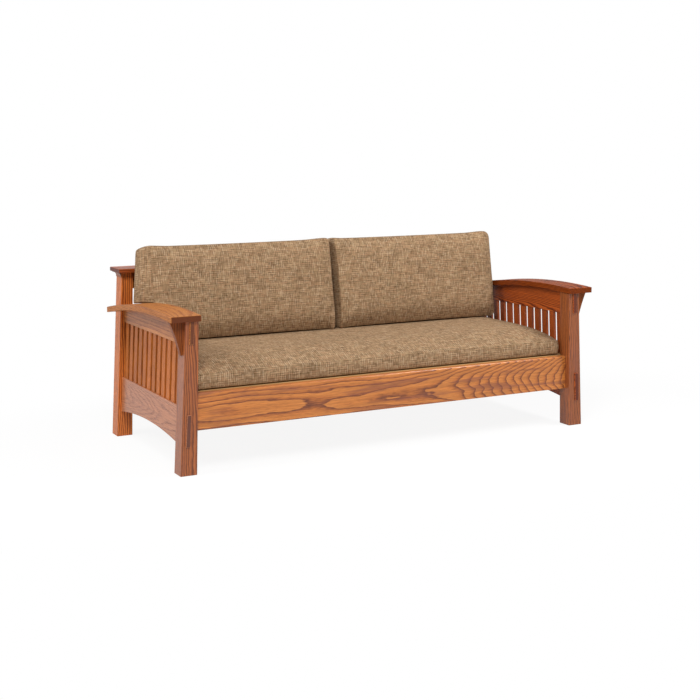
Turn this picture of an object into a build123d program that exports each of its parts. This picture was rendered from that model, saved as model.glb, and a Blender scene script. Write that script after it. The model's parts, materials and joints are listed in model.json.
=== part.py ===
from build123d import *
import math
import os

os.makedirs("parts", exist_ok=True)

# A three-seat mission settle in oak: canted side frames of posts, rails and slats, bowed arms on
# corbels, a capped slat back, a bench seat cushion and two loose back cushions.
# X runs along the length, the front faces -Y, Z is up. The origin is the middle of the outer
# box on the floor. Millimetres and degrees.

# Posts
feet_length = 2134.0          # over the posts' outer faces at the floor
feet_depth = 918.0            # front face of the front posts to back face of the back posts
post_width = 76.0             # across the length, at the floor
post_depth = 76.0
post_outer_lean = 3.3         # the outer face leans inwards by this angle
post_inner_lean = 1.8         # the inner face leans inwards less, so the post tapers upwards
foot_chamfer = 1.2
edge_round = 2.0              # softened long edges of the show wood
upright_share = 0.9           # an edge whose direction is at least this much upright is a long edge

# Arms
arm_front_height = 690.0      # top of the arm at its front end
arm_back_height = 632.0       # top of the arm at the back post
arm_bow = 27.0                # rise of the bow above a straight line between the ends
arm_thickness = 26.0
arm_front_overhang = 13.0     # past the front face of the post
arm_outer_overhang = 71.5     # past the outer face of the post, measured at the post's top
arm_inner_overhang = 6.5
arm_edge_round = 3.0
arm_corner_round = 4.0

# Joints
glue_gap = 0.15               # all round a tenon or a slat end in its mortise
stub_length = 26.0            # blind tenons
cross_tenon_thickness = 12.0
cross_tenon_shoulder = 16.0   # above and below a cross rail's tenon
post_stub_height = 13.0       # post tenon up into the arm
post_stub_width = 34.0
cap_stub_height = 9.0         # back post tenon up into the cap
tenon_root = 13.0             # how far a tenon's block runs back into its own piece
arm_stub_thickness = 12.0
arm_stub_width = 36.0

# Side frames
rail_thickness = 22.0
rail_inset = 17.0             # from the post's outer face to the rail's outer face
upper_rail_least_height = 51.0   # at the lower end of the arm
lower_rail_top = 289.0
lower_rail_bottom = 122.0
arch_rise = 30.0
tenon_proud = 6.0             # through tenons stand in front of the front posts
tenon_thickness = 19.0
tenon_chamfer = 1.5
upper_tenon_shoulder = 11.0   # below the upper tenon
lower_tenon_shoulder_low = 4.0
lower_tenon_shoulder_high = 24.0
slat_count = 12
slat_width = 38.0
slat_thickness = 12.7
slat_tongue = 9.0             # each end goes this far into its rail

# Corbels
corbel_thickness = 25.0
corbel_height = 146.0
corbel_reach = 63.0           # at the top
corbel_foot = 8.0
corbel_lip = 5.0              # straight part at the top of the outer edge
corbel_hollow = 4.0           # how far the outer edge curves inwards

# Front apron and seat
apron_setback = 31.0          # behind the front face of the posts
apron_thickness = 24.0
apron_bottom = 186.0
apron_top = 350.0
apron_top_round = 11.0
deck_thickness = 18.0
deck_side_clearance = 4.0
cleat_depth = 32.0
cleat_height = 32.0
bearer_thickness = 22.0
bearer_height = 64.0

# Back frame
back_rail_thickness = 22.0
back_bottom_rail_bottom = 186.0
back_top_rail_height = 84.0
cap_top = 810.0
cap_thickness = 18.0
cap_front_overhang = 38.0
cap_back_overhang = 23.0
cap_end_overhang = 25.0
cap_edge_round = 3.0
cove_height = 26.0
cove_lip = 3.0
cove_hollow_share = 0.25      # how near the hollow's middle comes to the inner corner
back_slat_count = 9
back_slat_width = 89.0
back_slat_thickness = 9.5
back_slat_tongue = 9.0

# Screws that hold the cleats
screws_per_cleat = 6
screw_radius = 2.2
screw_head_radius = 4.2
screw_length = 46.0
screw_end_margin = 120.0
countersink_angle = 90.0

# Cushions
soft_clearance = 0.3          # between a cushion and what it rests on or against
seat_setback = 58.0           # from the front face of the posts to the cushion
seat_side_clearance = 4.0     # to the front posts, each side
seat_back_clearance = 4.0     # to the back posts
seat_thickness = 130.0
seat_crown_run = 147.0        # how far in from the sides the top goes on rising
seat_pull = 6.0               # how far each side draws in between the corners
seat_corner = 26.0
back_cushion_arm_clearance = 9.8   # from the outer end to the arm's inner edge
back_cushion_thickness = 183.0
back_cushion_height = 470.0
back_cushion_squash = 36.7    # how far its back lower edge would reach below the seat's top
back_cushion_lean = 10.0
back_cushion_gap = 6.0        # between the two
back_crown_run = 114.0
back_pull = 7.0
back_corner = 30.0

# A cushion's side goes straight up for a share of its thickness, then crowns over on a quarter ellipse
crown_steps = 8
seat_straight_share = 0.34
seat_foot_shares = [(0.0, 0.07), (0.1, 0.015)]
back_straight_share = 0.15


def crown_shares(straight_share):
    """Pairs of a share of the thickness and the share of the crown run that the side has moved in there."""
    turns = [math.pi / 2 * step / crown_steps for step in range(crown_steps + 1)]
    return [(straight_share + (1 - straight_share) * math.sin(turn), 1 - math.cos(turn)) for turn in turns]


seat_level_shares = seat_foot_shares + crown_shares(seat_straight_share)
front_half_shares = [((1 + level) / 2, inset) for level, inset in crown_shares(back_straight_share)]
rear_half_shares = [(1 - level, inset) for level, inset in reversed(front_half_shares)]
back_level_shares = rear_half_shares + front_half_shares

# Places worked out from the sizes above
overall_depth = arm_front_overhang + feet_depth + cap_back_overhang
post_front_y = arm_front_overhang - overall_depth / 2
post_back_y = post_front_y + feet_depth
inside_front_y = post_front_y + post_depth
inside_back_y = post_back_y - post_depth
arm_front_y = post_front_y - arm_front_overhang
arm_middle_y = (arm_front_y + inside_back_y) / 2
arm_middle_height = (arm_front_height + arm_back_height) / 2 + arm_bow
upper_rail_bottom = min(arm_front_height, arm_back_height) - arm_thickness - upper_rail_least_height
cap_bottom = cap_top - cap_thickness
outer_slope = math.tan(math.radians(post_outer_lean))
inner_slope = math.tan(math.radians(post_inner_lean))


def post_outer_x(z):
    """The posts' outer face at a height, on the right-hand side."""
    return feet_length / 2 - z * outer_slope


def post_inner_x(z):
    """The posts' inner face at a height, on the right-hand side."""
    return feet_length / 2 - post_width - z * inner_slope


def post_middle_x(z):
    """Half way through a post at a height."""
    return (post_outer_x(z) + post_inner_x(z)) / 2


def canted_corners(depth_in, thickness, low, high):
    """A board's section that leans with the posts' outer faces, depth_in behind them."""
    return [(post_outer_x(low) - depth_in, low), (post_outer_x(high) - depth_in, high),
            (post_outer_x(high) - depth_in - thickness, high), (post_outer_x(low) - depth_in - thickness, low)]


def upright_edges(piece):
    """The long edges of a post, which lean only a little."""
    return piece.edges().filter_by(lambda edge: abs(edge.tangent_at(0.5).Z) > upright_share)


def cross_corners(low, high, reach):
    """A cross board between the posts, its ends sloped like them and reach inside them."""
    return [(-post_inner_x(low) - reach, low), (post_inner_x(low) + reach, low),
            (post_inner_x(high) + reach, high), (-post_inner_x(high) - reach, high)]


def plane_at_back(y):
    """The upright plane whose extrusions run forwards from y."""
    return Plane.XZ.offset(-y)


def side_profile(corners, back_y, gap=0.0):
    """A closed outline in X and Z, drawn at back_y and grown by gap."""
    with BuildSketch(plane_at_back(back_y)) as profile:
        with BuildLine():
            Polyline(*corners, close=True)
        make_face()
        if gap > 0:
            offset(amount=gap, kind=Kind.INTERSECTION)
    return profile.sketch


def keep(piece, name):
    """Names a finished piece and writes it."""
    piece.label = name
    export_step(piece, f"parts/{name}.step")


# The space below the arm's bowed underside, which trims posts, corbels and upper rails
with BuildSketch(Plane.YZ) as under_arm:
    with BuildLine():
        under_front = (arm_front_y, arm_front_height - arm_thickness)
        under_middle = (arm_middle_y, arm_middle_height - arm_thickness)
        under_back = (inside_back_y, arm_back_height - arm_thickness)
        ThreePointArc(under_front, under_middle, under_back)
        Polyline(under_back, (inside_back_y, 0), (arm_front_y, 0), under_front)
    make_face()

# Sections of the side rails, their through tenons and the slats
tenon_face = rail_inset + (rail_thickness - tenon_thickness) / 2
slat_face = rail_inset + (rail_thickness - slat_thickness) / 2
upper_rail_corners = canted_corners(rail_inset, rail_thickness, upper_rail_bottom, arm_front_height)
upper_tenon_low = upper_rail_bottom + upper_tenon_shoulder
upper_tenon_high = arm_front_height - arm_thickness
upper_tenon_corners = canted_corners(tenon_face, tenon_thickness, upper_tenon_low, upper_tenon_high)
upper_stub_high = arm_back_height - arm_thickness - cross_tenon_shoulder
upper_stub_corners = canted_corners(tenon_face, tenon_thickness, upper_tenon_low, upper_stub_high)
lower_rail_corners = canted_corners(rail_inset, rail_thickness, lower_rail_bottom, lower_rail_top)
lower_tenon_low = lower_rail_bottom + lower_tenon_shoulder_low
lower_tenon_high = lower_rail_top - lower_tenon_shoulder_high
lower_tenon_corners = canted_corners(tenon_face, tenon_thickness, lower_tenon_low, lower_tenon_high)
slat_low = lower_rail_top - slat_tongue
slat_high = upper_rail_bottom + slat_tongue
slat_corners = canted_corners(slat_face, slat_thickness, slat_low, slat_high)

side_run = inside_back_y - inside_front_y
slat_gap = (side_run - slat_count * slat_width) / (slat_count + 1)
first_slat_middle = inside_front_y + slat_gap + slat_width / 2
slat_middles = [first_slat_middle + n * (slat_width + slat_gap) for n in range(slat_count)]
print("gap between side slats", round(slat_gap, 1))

# Cross rails at the front and the back, and their blind tenons
apron_front_y = post_front_y + apron_setback
apron_back_y = apron_front_y + apron_thickness
apron_tenon_back_y = apron_back_y - (apron_thickness - cross_tenon_thickness) / 2
apron_tenon_corners = cross_corners(
    apron_bottom + cross_tenon_shoulder, apron_top - cross_tenon_shoulder, stub_length)
back_rail_back_y = post_back_y - (post_depth - back_rail_thickness) / 2
back_rail_front_y = back_rail_back_y - back_rail_thickness
back_tenon_back_y = back_rail_back_y - (back_rail_thickness - cross_tenon_thickness) / 2
back_bottom_rail_top = apron_top
back_top_rail_bottom = cap_bottom - back_top_rail_height
back_bottom_tenon_corners = cross_corners(
    back_bottom_rail_bottom + cross_tenon_shoulder, back_bottom_rail_top - cross_tenon_shoulder, stub_length)
back_top_tenon_corners = cross_corners(
    back_top_rail_bottom + cross_tenon_shoulder, cap_bottom - cross_tenon_shoulder, stub_length)

# The arm's blind tenon into the back post, and the post's tenon into the arm
arm_stub_middle_z = arm_back_height - arm_thickness / 2
arm_stub_middle_x = post_middle_x(arm_stub_middle_z)
front_post_middle_y = post_front_y + post_depth / 2
back_post_middle_y = post_back_y - post_depth / 2
arm_outer_x = post_outer_x(arm_front_height) + arm_outer_overhang
arm_inner_x = post_inner_x(arm_front_height) - arm_inner_overhang
arm_length = inside_back_y - arm_front_y
post_stub_x = post_middle_x(arm_front_height)
post_stub_top = arm_front_height - arm_thickness + post_stub_height
cap_stub_x = post_middle_x(cap_bottom)

# Front posts: tapered, with two through mortises for the side rails and one blind for the apron
with BuildPart() as post_front_right:
    with BuildSketch(plane_at_back(inside_front_y)):
        with BuildLine():
            Polyline((post_inner_x(0), 0), (post_outer_x(0), 0),
                     (post_outer_x(arm_front_height), arm_front_height),
                     (post_inner_x(arm_front_height), arm_front_height), close=True)
        make_face()
    extrude(amount=post_depth)
    fillet(upright_edges(post_front_right), edge_round)
    chamfer(post_front_right.faces().sort_by(Axis.Z)[0].edges(), foot_chamfer)
    extrude(under_arm.sketch, amount=feet_length, both=True, mode=Mode.INTERSECT)
    with BuildSketch(Plane.XY.offset(post_stub_top)):
        with Locations((post_stub_x, front_post_middle_y)):
            Rectangle(post_stub_width, post_stub_width)
    extrude(amount=-post_stub_height - tenon_root)
    extrude(side_profile(upper_tenon_corners, inside_front_y, glue_gap), amount=post_depth, mode=Mode.SUBTRACT)
    extrude(side_profile(lower_tenon_corners, inside_front_y, glue_gap), amount=post_depth, mode=Mode.SUBTRACT)
    extrude(side_profile(apron_tenon_corners, apron_tenon_back_y + glue_gap, glue_gap),
            amount=cross_tenon_thickness + 2 * glue_gap, mode=Mode.SUBTRACT)
keep(post_front_right.part, "post_front_right")

with BuildPart() as post_front_left:
    mirror(post_front_right.part, about=Plane.YZ)
keep(post_front_left.part, "post_front_left")

# Back posts: taller, tenoned into the cap, with blind mortises for the rails and the arm
with BuildPart() as post_back_right:
    with BuildSketch(plane_at_back(post_back_y)):
        with BuildLine():
            Polyline((post_inner_x(0), 0), (post_outer_x(0), 0),
                     (post_outer_x(cap_bottom), cap_bottom), (post_inner_x(cap_bottom), cap_bottom), close=True)
        make_face()
    extrude(amount=post_depth)
    fillet(upright_edges(post_back_right), edge_round)
    chamfer(post_back_right.faces().sort_by(Axis.Z)[0].edges(), foot_chamfer)
    with BuildSketch(Plane.XY.offset(cap_bottom)):
        with Locations((cap_stub_x, back_post_middle_y)):
            Rectangle(post_stub_width, post_stub_width)
    extrude(amount=cap_stub_height)
    stub_mortise_back_y = inside_back_y + stub_length
    for corners in (upper_stub_corners, lower_tenon_corners):
        extrude(side_profile(corners, stub_mortise_back_y, glue_gap), amount=stub_length, mode=Mode.SUBTRACT)
    for corners in (back_bottom_tenon_corners, back_top_tenon_corners):
        extrude(side_profile(corners, back_tenon_back_y + glue_gap, glue_gap),
                amount=cross_tenon_thickness + 2 * glue_gap, mode=Mode.SUBTRACT)
    with BuildSketch(plane_at_back(stub_mortise_back_y)):
        with Locations((arm_stub_middle_x, arm_stub_middle_z)):
            Rectangle(arm_stub_width + 2 * glue_gap, arm_stub_thickness + 2 * glue_gap)
    extrude(amount=stub_length, mode=Mode.SUBTRACT)
keep(post_back_right.part, "post_back_right")

with BuildPart() as post_back_left:
    mirror(post_back_right.part, about=Plane.YZ)
keep(post_back_left.part, "post_back_left")

# Arms: bowed boards, flat at the front and falling to the back post
with BuildPart() as arm_right:
    with BuildSketch(Plane.YZ.offset(arm_inner_x)):
        with BuildLine():
            top_front = (arm_front_y, arm_front_height)
            top_back = (inside_back_y, arm_back_height)
            ThreePointArc(top_front, (arm_middle_y, arm_middle_height), top_back)
            Line(top_back, under_back)
            ThreePointArc(under_back, under_middle, under_front)
            Line(under_front, top_front)
        make_face()
    extrude(amount=arm_outer_x - arm_inner_x)
    fillet(arm_right.faces().sort_by(Axis.Y)[0].edges().filter_by(Axis.Z), arm_corner_round)
    arm_top_edges = arm_right.faces().sort_by(Axis.Z)[-1].edges().sort_by(Axis.Y)[:-1]
    fillet(arm_top_edges, arm_edge_round)
    with BuildSketch(plane_at_back(inside_back_y + stub_length - glue_gap)):
        with Locations((arm_stub_middle_x, arm_stub_middle_z)):
            Rectangle(arm_stub_width, arm_stub_thickness)
    extrude(amount=stub_length - glue_gap + tenon_root)
    with BuildSketch(Plane.XY.offset(post_stub_top + glue_gap)):
        with Locations((post_stub_x, front_post_middle_y)):
            Rectangle(post_stub_width + 2 * glue_gap, post_stub_width + 2 * glue_gap)
    extrude(amount=-arm_thickness, mode=Mode.SUBTRACT)
keep(arm_right.part, "arm_right")

with BuildPart() as arm_left:
    mirror(arm_right.part, about=Plane.YZ)
keep(arm_left.part, "arm_left")

# Corbels: slightly hollow brackets under the arms, on the outer faces of the front posts
with BuildPart() as corbel_right:
    corbel_foot_z = arm_front_height - arm_thickness - corbel_height
    corbel_lip_z = arm_front_height - arm_thickness - corbel_lip
    foot_point = (post_outer_x(corbel_foot_z) + corbel_foot, corbel_foot_z)
    lip_point = (post_outer_x(arm_front_height) + corbel_reach, corbel_lip_z)
    hollow_point = ((foot_point[0] + lip_point[0]) / 2 - corbel_hollow, (foot_point[1] + lip_point[1]) / 2)
    with BuildSketch(plane_at_back(front_post_middle_y + corbel_thickness / 2)):
        with BuildLine():
            ThreePointArc(foot_point, hollow_point, lip_point)
            Polyline(lip_point, (lip_point[0], arm_front_height),
                     (post_outer_x(arm_front_height), arm_front_height),
                     (post_outer_x(corbel_foot_z), corbel_foot_z), foot_point)
        make_face()
    extrude(amount=corbel_thickness)
    extrude(under_arm.sketch, amount=feet_length, both=True, mode=Mode.INTERSECT)
keep(corbel_right.part, "corbel_right")

with BuildPart() as corbel_left:
    mirror(corbel_right.part, about=Plane.YZ)
keep(corbel_left.part, "corbel_left")

# Upper side rails: the top follows the arm, the front end goes through the post as a proud tenon
with BuildPart() as side_rail_upper_right:
    extrude(side_profile(upper_rail_corners, inside_back_y), amount=side_run)
    extrude(side_profile(upper_tenon_corners, inside_front_y), amount=post_depth + tenon_proud)
    chamfer(side_rail_upper_right.faces().sort_by(Axis.Y)[0].edges(), tenon_chamfer)
    extrude(under_arm.sketch, amount=feet_length, both=True, mode=Mode.INTERSECT)
    extrude(side_profile(upper_stub_corners, inside_back_y + stub_length - glue_gap), amount=stub_length - glue_gap)
    for middle in slat_middles:
        extrude(side_profile(slat_corners, middle + slat_width / 2 + glue_gap, glue_gap),
                amount=slat_width + 2 * glue_gap, mode=Mode.SUBTRACT)
keep(side_rail_upper_right.part, "side_rail_upper_right")

with BuildPart() as side_rail_upper_left:
    mirror(side_rail_upper_right.part, about=Plane.YZ)
keep(side_rail_upper_left.part, "side_rail_upper_left")

# Lower side rails: deep, with an arched bottom edge and the same proud tenon
with BuildPart() as side_rail_lower_right:
    extrude(side_profile(lower_rail_corners, inside_back_y), amount=side_run)
    with BuildSketch(Plane.YZ.offset(post_outer_x(0))):
        with BuildLine():
            arch_front = (inside_front_y, lower_rail_bottom)
            arch_back = (inside_back_y, lower_rail_bottom)
            arch_crown = ((inside_front_y + inside_back_y) / 2, lower_rail_bottom + arch_rise)
            ThreePointArc(arch_front, arch_crown, arch_back)
            Line(arch_back, arch_front)
        make_face()
    extrude(amount=-post_width, mode=Mode.SUBTRACT)
    extrude(side_profile(lower_tenon_corners, inside_front_y), amount=post_depth + tenon_proud)
    chamfer(side_rail_lower_right.faces().sort_by(Axis.Y)[0].edges(), tenon_chamfer)
    extrude(side_profile(lower_tenon_corners, inside_back_y + stub_length - glue_gap), amount=stub_length - glue_gap)
    for middle in slat_middles:
        extrude(side_profile(slat_corners, middle + slat_width / 2 + glue_gap, glue_gap),
                amount=slat_width + 2 * glue_gap, mode=Mode.SUBTRACT)
keep(side_rail_lower_right.part, "side_rail_lower_right")

with BuildPart() as side_rail_lower_left:
    mirror(side_rail_lower_right.part, about=Plane.YZ)
keep(side_rail_lower_left.part, "side_rail_lower_left")

# Side slats, numbered from the front
for number, middle in enumerate(slat_middles, start=1):
    with BuildPart() as side_slat_right:
        extrude(side_profile(slat_corners, middle + slat_width / 2), amount=slat_width)
    keep(side_slat_right.part, f"side_slat_right_{number}")
    with BuildPart() as side_slat_left:
        mirror(side_slat_right.part, about=Plane.YZ)
    keep(side_slat_left.part, f"side_slat_left_{number}")

# Screw places on the two cleats, pointing into the rail that each cleat is fixed to
deck_top = apron_top
deck_bottom = deck_top - deck_thickness
cleat_half_length = post_inner_x(deck_bottom) - deck_side_clearance
screw_z = deck_bottom - cleat_height / 2
screw_run = 2 * (cleat_half_length - screw_end_margin)
screw_xs = [screw_run * (n / (screws_per_cleat - 1) - 1 / 2) for n in range(screws_per_cleat)]
front_screw_planes = [Plane(origin=(x, apron_back_y + cleat_depth, screw_z), x_dir=(1, 0, 0),
                            z_dir=(0, 1, 0)) for x in screw_xs]
rear_screw_planes = [Plane(origin=(x, back_rail_front_y - cleat_depth, screw_z), x_dir=(1, 0, 0),
                           z_dir=(0, -1, 0)) for x in screw_xs]

# Front apron: plain and deep, its top front edge rounded over
with BuildPart() as front_apron:
    extrude(side_profile(cross_corners(apron_bottom, apron_top, 0), apron_back_y), amount=apron_thickness)
    fillet(front_apron.faces().sort_by(Axis.Y)[0].edges().sort_by(Axis.Z)[-1], apron_top_round)
    extrude(side_profile(apron_tenon_corners, apron_tenon_back_y), amount=cross_tenon_thickness)
    with Locations(*front_screw_planes):
        Cylinder(screw_radius, screw_length, align=(Align.CENTER, Align.CENTER, Align.MAX), mode=Mode.SUBTRACT)
keep(front_apron.part, "front_apron")

# Seat deck: a panel level with the apron, notched round the four posts
with BuildPart() as seat_deck:
    deck_front_x = post_inner_x(deck_top) - deck_side_clearance
    deck_side_x = post_outer_x(deck_top) - slat_face - slat_thickness - deck_side_clearance
    notch_front_y = inside_front_y + deck_side_clearance
    notch_back_y = inside_back_y - deck_side_clearance
    with BuildSketch(Plane.XY.offset(deck_bottom)):
        with BuildLine():
            Polyline((0, apron_back_y), (deck_front_x, apron_back_y), (deck_front_x, notch_front_y),
                     (deck_side_x, notch_front_y), (deck_side_x, notch_back_y), (deck_front_x, notch_back_y),
                     (deck_front_x, back_rail_front_y), (0, back_rail_front_y))
            mirror(about=Plane.YZ)
        make_face()
    extrude(amount=deck_thickness)
keep(seat_deck.part, "seat_deck")

# Cleats that carry the deck, screwed to the apron and to the back bottom rail
for name, planes, back_y in (("front_cleat", front_screw_planes, apron_back_y + cleat_depth),
                             ("rear_cleat", rear_screw_planes, back_rail_front_y)):
    with BuildPart() as cleat:
        with BuildSketch(Plane.XY.offset(deck_bottom)):
            with Locations((0, back_y - cleat_depth / 2)):
                Rectangle(2 * cleat_half_length, cleat_depth)
        extrude(amount=-cleat_height)
        with Locations(*planes):
            CounterSinkHole(radius=screw_radius, counter_sink_radius=screw_head_radius,
                            depth=cleat_depth, counter_sink_angle=countersink_angle)
    keep(cleat.part, name)

with BuildPart() as cleat_screws:
    head_height = (screw_head_radius - screw_radius) / math.tan(math.radians(countersink_angle / 2))
    with Locations(*front_screw_planes, *rear_screw_planes):
        Cylinder(screw_radius, screw_length, align=(Align.CENTER, Align.CENTER, Align.MAX))
        Cone(screw_radius, screw_head_radius, head_height, align=(Align.CENTER, Align.CENTER, Align.MAX))
keep(cleat_screws.part, "cleat_screws")

# Seat bearer: runs from cleat to cleat under the middle of the deck
with BuildPart() as seat_bearer:
    with BuildSketch(plane_at_back(back_rail_front_y - cleat_depth)):
        with Locations((0, deck_bottom)):
            Rectangle(bearer_thickness, bearer_height, align=(Align.CENTER, Align.MAX))
    extrude(amount=back_rail_front_y - apron_back_y - 2 * cleat_depth)
keep(seat_bearer.part, "seat_bearer")

# Back slats stand between the back rails
back_run = 2 * post_inner_x(back_top_rail_bottom)
back_slat_gap = (back_run - back_slat_count * back_slat_width) / (back_slat_count + 1)
back_slat_pitch = back_slat_width + back_slat_gap
back_slat_middles = [(n - (back_slat_count - 1) / 2) * back_slat_pitch for n in range(back_slat_count)]
back_slat_middle_y = (back_rail_front_y + back_rail_back_y) / 2
back_slat_low = back_bottom_rail_top - back_slat_tongue
back_slat_high = back_top_rail_bottom + back_slat_tongue

with BuildSketch(Plane.XY.offset(back_slat_low)) as back_slat_pockets:
    with Locations(*[(x, back_slat_middle_y) for x in back_slat_middles]):
        Rectangle(back_slat_width + 2 * glue_gap, back_slat_thickness + 2 * glue_gap)

for number, middle in enumerate(back_slat_middles, start=1):
    with BuildPart() as back_slat:
        with BuildSketch(Plane.XY.offset(back_slat_low)):
            with Locations((middle, back_slat_middle_y)):
                Rectangle(back_slat_width, back_slat_thickness)
        extrude(amount=back_slat_high - back_slat_low)
    keep(back_slat.part, f"back_slat_{number}")

# Back rails: between the back posts, mortised for the slats
with BuildPart() as back_bottom_rail:
    extrude(side_profile(cross_corners(back_bottom_rail_bottom, back_bottom_rail_top, 0), back_rail_back_y),
            amount=back_rail_thickness)
    extrude(side_profile(back_bottom_tenon_corners, back_tenon_back_y), amount=cross_tenon_thickness)
    extrude(back_slat_pockets.sketch, amount=back_slat_high - back_slat_low, mode=Mode.SUBTRACT)
    with Locations(*rear_screw_planes):
        Cylinder(screw_radius, screw_length, align=(Align.CENTER, Align.CENTER, Align.MAX), mode=Mode.SUBTRACT)
keep(back_bottom_rail.part, "back_bottom_rail")

with BuildPart() as back_top_rail:
    extrude(side_profile(cross_corners(back_top_rail_bottom, cap_bottom, 0), back_rail_back_y),
            amount=back_rail_thickness)
    extrude(side_profile(back_top_tenon_corners, back_tenon_back_y), amount=cross_tenon_thickness)
    extrude(back_slat_pockets.sketch, amount=back_slat_high - back_slat_low, mode=Mode.SUBTRACT)
keep(back_top_rail.part, "back_top_rail")

# Cap board over the back, and the cove mouldings that carry its ends
cap_half_length = post_outer_x(cap_bottom) + cap_end_overhang
cap_front_y = inside_back_y - cap_front_overhang
cap_back_y = post_back_y + cap_back_overhang
with BuildPart() as back_cap:
    with BuildSketch(Plane.XY.offset(cap_bottom)):
        with Locations((0, (cap_front_y + cap_back_y) / 2)):
            Rectangle(2 * cap_half_length, cap_back_y - cap_front_y)
    extrude(amount=cap_thickness)
    fillet(back_cap.faces().sort_by(Axis.Z)[-1].edges(), cap_edge_round)
    with BuildSketch(Plane.XY.offset(cap_bottom)):
        with Locations((cap_stub_x, back_post_middle_y), (-cap_stub_x, back_post_middle_y)):
            Rectangle(post_stub_width + 2 * glue_gap, post_stub_width + 2 * glue_gap)
    extrude(amount=cap_stub_height + glue_gap, mode=Mode.SUBTRACT)
keep(back_cap.part, "back_cap")

with BuildPart() as cap_cove_right:
    cove_reach = cap_end_overhang - cove_lip
    cove_bottom = cap_bottom - cove_height
    cove_start = (post_outer_x(cap_bottom) + cove_reach, cap_bottom - cove_lip)
    cove_end = (post_outer_x(cove_bottom) + cove_lip, cove_bottom)
    cove_hollow = (cove_end[0] + (cove_start[0] - cove_end[0]) * cove_hollow_share,
                   cove_start[1] - (cove_start[1] - cove_end[1]) * cove_hollow_share)
    with BuildSketch(plane_at_back(post_back_y - edge_round)):
        with BuildLine():
            ThreePointArc(cove_start, cove_hollow, cove_end)
            Polyline(cove_end, (post_outer_x(cove_bottom), cove_bottom), (post_outer_x(cap_bottom), cap_bottom),
                     (cove_start[0], cap_bottom), cove_start)
        make_face()
    extrude(amount=post_depth - 2 * edge_round)
keep(cap_cove_right.part, "cap_cove_right")

with BuildPart() as cap_cove_left:
    mirror(cap_cove_right.part, about=Plane.YZ)
keep(cap_cove_left.part, "cap_cove_left")


def cushion_outline(plane, width, height, pull, corner):
    """A rectangle whose four sides draw in by pull between rounded corners."""
    with BuildSketch(plane) as outline:
        with BuildLine():
            right, top = width / 2, height / 2
            ThreePointArc((-right, -top), (0, pull - top), (right, -top))
            ThreePointArc((right, -top), (right - pull, 0), (right, top))
            ThreePointArc((right, top), (0, top - pull), (-right, top))
            ThreePointArc((-right, top), (pull - right, 0), (-right, -top))
        make_face()
        fillet(outline.vertices(), corner)
    return outline.sketch


# Bench seat cushion: flat below, crowned above, sides drawn in
seat_front_y = post_front_y + seat_setback
seat_back_y = inside_back_y - seat_back_clearance
seat_length = 2 * (post_inner_x(deck_top + seat_thickness) - seat_side_clearance)
seat_bottom = deck_top + soft_clearance
seat_plane = Plane(origin=(0, (seat_front_y + seat_back_y) / 2, seat_bottom))
with BuildPart() as seat_cushion:
    loft([cushion_outline(seat_plane.offset(level * seat_thickness),
                          seat_length - 2 * inset * seat_crown_run,
                          seat_back_y - seat_front_y - 2 * inset * seat_crown_run,
                          seat_pull, seat_corner)
          for level, inset in seat_level_shares])
keep(seat_cushion.part, "seat_cushion")

# Back cushions: crowned on both faces, leaning back on the cap and cut level where they stand
seat_crown_z = seat_bottom + seat_thickness
lean = math.radians(back_cushion_lean)
lean_up = (0, math.sin(lean), math.cos(lean))
lean_front = (0, -math.cos(lean), math.sin(lean))
back_cushion_low = seat_crown_z - back_cushion_squash
lean_drop = (cap_top - back_cushion_low) / math.cos(lean) - back_cushion_height / 2
back_cushion_width = arm_inner_x - back_cushion_arm_clearance - back_cushion_gap / 2
back_cushion_x = (back_cushion_width + back_cushion_gap) / 2
with BuildPart() as back_cushion_right:
    lean_plane = Plane(origin=(back_cushion_x, cap_front_y - soft_clearance - lean_drop * lean_up[1],
                               cap_top - lean_drop * lean_up[2]),
                       x_dir=(1, 0, 0), z_dir=lean_front)
    loft([cushion_outline(lean_plane.offset(level * back_cushion_thickness),
                          back_cushion_width - 2 * inset * back_crown_run,
                          back_cushion_height - 2 * inset * back_crown_run,
                          back_pull, back_corner)
          for level, inset in back_level_shares])
    split(bisect_by=Plane.XY.offset(seat_crown_z + soft_clearance), keep=Keep.TOP)
keep(back_cushion_right.part, "back_cushion_right")

with BuildPart() as back_cushion_left:
    mirror(back_cushion_right.part, about=Plane.YZ)
keep(back_cushion_left.part, "back_cushion_left")
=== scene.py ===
# %% [markdown]
# # A mission settle in oak and tweed
#
# The wood of this settle comes from its construction model: every board, post and slat is already
# there, in metres, standing on the floor. What is left to make is what a cabinet maker and an
# upholsterer add: the stained and lacquered oak surface, and the three sewn cushions.

# %% Load the construction model
import json
import math
import bpy
import numpy as np
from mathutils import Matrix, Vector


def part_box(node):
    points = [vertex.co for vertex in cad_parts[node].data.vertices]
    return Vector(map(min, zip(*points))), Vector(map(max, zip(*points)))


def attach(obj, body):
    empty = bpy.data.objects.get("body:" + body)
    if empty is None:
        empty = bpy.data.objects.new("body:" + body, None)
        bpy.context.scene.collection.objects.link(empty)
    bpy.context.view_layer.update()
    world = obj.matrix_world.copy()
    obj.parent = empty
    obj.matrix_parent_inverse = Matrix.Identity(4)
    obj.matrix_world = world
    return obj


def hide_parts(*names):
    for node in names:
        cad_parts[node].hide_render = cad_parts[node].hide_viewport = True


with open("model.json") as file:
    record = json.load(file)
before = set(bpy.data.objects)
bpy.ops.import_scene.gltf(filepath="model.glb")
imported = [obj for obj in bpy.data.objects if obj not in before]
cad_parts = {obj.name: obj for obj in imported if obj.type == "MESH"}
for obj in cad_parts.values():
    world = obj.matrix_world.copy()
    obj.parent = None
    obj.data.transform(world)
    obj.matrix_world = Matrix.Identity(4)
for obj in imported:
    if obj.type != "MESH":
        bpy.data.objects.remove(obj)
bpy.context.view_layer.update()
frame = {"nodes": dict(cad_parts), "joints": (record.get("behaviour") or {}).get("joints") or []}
mm = 0.001

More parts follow.
